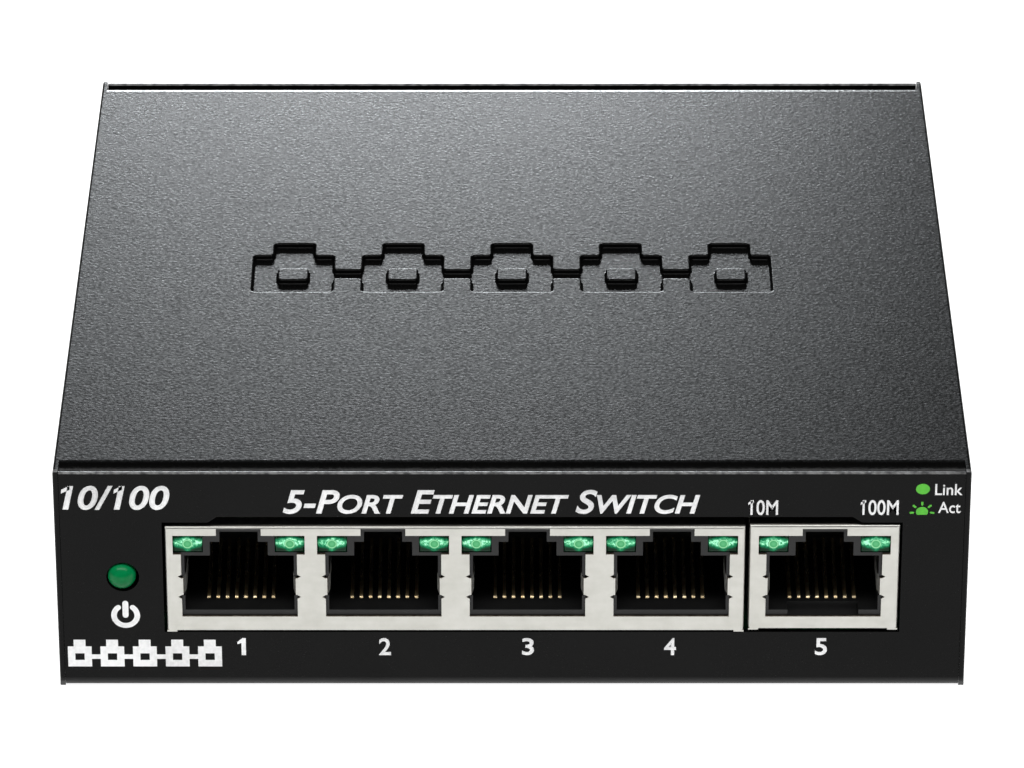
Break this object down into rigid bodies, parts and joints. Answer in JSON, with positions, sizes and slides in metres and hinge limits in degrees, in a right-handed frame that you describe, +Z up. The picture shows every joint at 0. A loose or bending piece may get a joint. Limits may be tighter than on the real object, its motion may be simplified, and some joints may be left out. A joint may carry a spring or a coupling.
{
  "type": "desktop network switch",
  "caption": "Small desktop network switch: folded black steel case, row of modular sockets with indicator lamps in front, power lamp, barrel power inlet and lock slot behind.",
  "frame": {"origin": "on the resting plane under the rubber feet, below the middle of the case", "axes": "+Z up, the socket panel faces -Y, +X to the right seen from the socket side"},
  "size_m": [0.1, 0.0998, 0.028],
  "materials": {
    "case_paint": "fine textured matte black powder coat",
    "black_screw": "black zinc plate",
    "zinc_steel": "bright zinc plate",
    "foot_rubber": "soft matte rubber",
    "label_film": "satin silver film",
    "board_laminate": "green solder mask on glass laminate",
    "insulator_sheet": "smooth translucent film",
    "shield_tin": "matte tin plate",
    "jack_plastic": "moulded black plastic",
    "gold_contact": "gold plate",
    "green_lens": "clear tinted epoxy",
    "green_led": "tinted epoxy",
    "tinned_lead": "bright tin",
    "chip_epoxy": "moulded epoxy",
    "transformer_epoxy": "moulded epoxy with bevelled top",
    "crystal_steel": "drawn can",
    "ferrite": "sintered ferrite",
    "fuse_coating": "dipped lacquer",
    "capacitor_sleeve": "shrunk sleeve",
    "chip_ceramic": "fired ceramic with tinned ends",
    "resistor_film": "glazed film on alumina",
    "legend_white": "screen print",
    "legend_green": "screen print"
  },
  "bodies": {
    "root": {"base_tray": "case_paint", "capacitor_leads": "tinned_lead", "chip_capacitors": "chip_ceramic", "chip_resistors": "resistor_film", "circuit_board": "board_laminate", "clinch_nuts": "zinc_steel", "cover_screws": "black_screw", "crystal_can": "crystal_steel", "crystal_leads": "tinned_lead", "dc_jack_centre_pin": "tinned_lead", "dc_jack_housing": "jack_plastic", "dc_jack_sleeve_spring": "tinned_lead", "dc_jack_terminal": "tinned_lead", "eeprom_ic": "chip_epoxy", "filter_capacitors": "capacitor_sleeve", "gang_jack_housing": "jack_plastic", "gang_jack_shield": "shield_tin", "gang_led_leads": "tinned_lead", "insulator_film": "insulator_sheet", "jack_contacts_1": "gold_contact", "jack_contacts_2": "gold_contact", "jack_contacts_3": "gold_contact", "jack_contacts_4": "gold_contact", "jack_contacts_5": "gold_contact", "jack_led_1_left": "green_lens", "jack_led_1_right": "green_lens", "jack_led_2_left": "green_lens", "jack_led_2_right": "green_lens", "jack_led_3_left": "green_lens", "jack_led_3_right": "green_lens", "jack_led_4_left": "green_lens", "jack_led_4_right": "green_lens", "jack_led_5_left": "green_lens", "jack_led_5_right": "green_lens", "pcb_screws": "zinc_steel", "pcb_standoffs": "zinc_steel", "power_diode": "chip_epoxy", "power_inductor": "ferrite", "power_led": "green_led", "power_led_holder": "jack_plastic", "power_led_leads": "tinned_lead", "quad_transformer": "transformer_epoxy", "quad_transformer_leads": "tinned_lead", "regulator_ic": "chip_epoxy", "resettable_fuse": "fuse_coating", "rubber_foot_front_left": "foot_rubber", "rubber_foot_front_right": "foot_rubber", "rubber_foot_rear_left": "foot_rubber", "rubber_foot_rear_right": "foot_rubber", "single_jack_housing": "jack_plastic", "single_jack_shield": "shield_tin", "single_led_leads": "tinned_lead", "single_transformer": "transformer_epoxy", "single_transformer_leads": "tinned_lead", "switch_ic": "chip_epoxy", "switch_ic_leads": "tinned_lead", "top_cover": "case_paint", "underside_label": "label_film"}
  },
  "joints": []
}
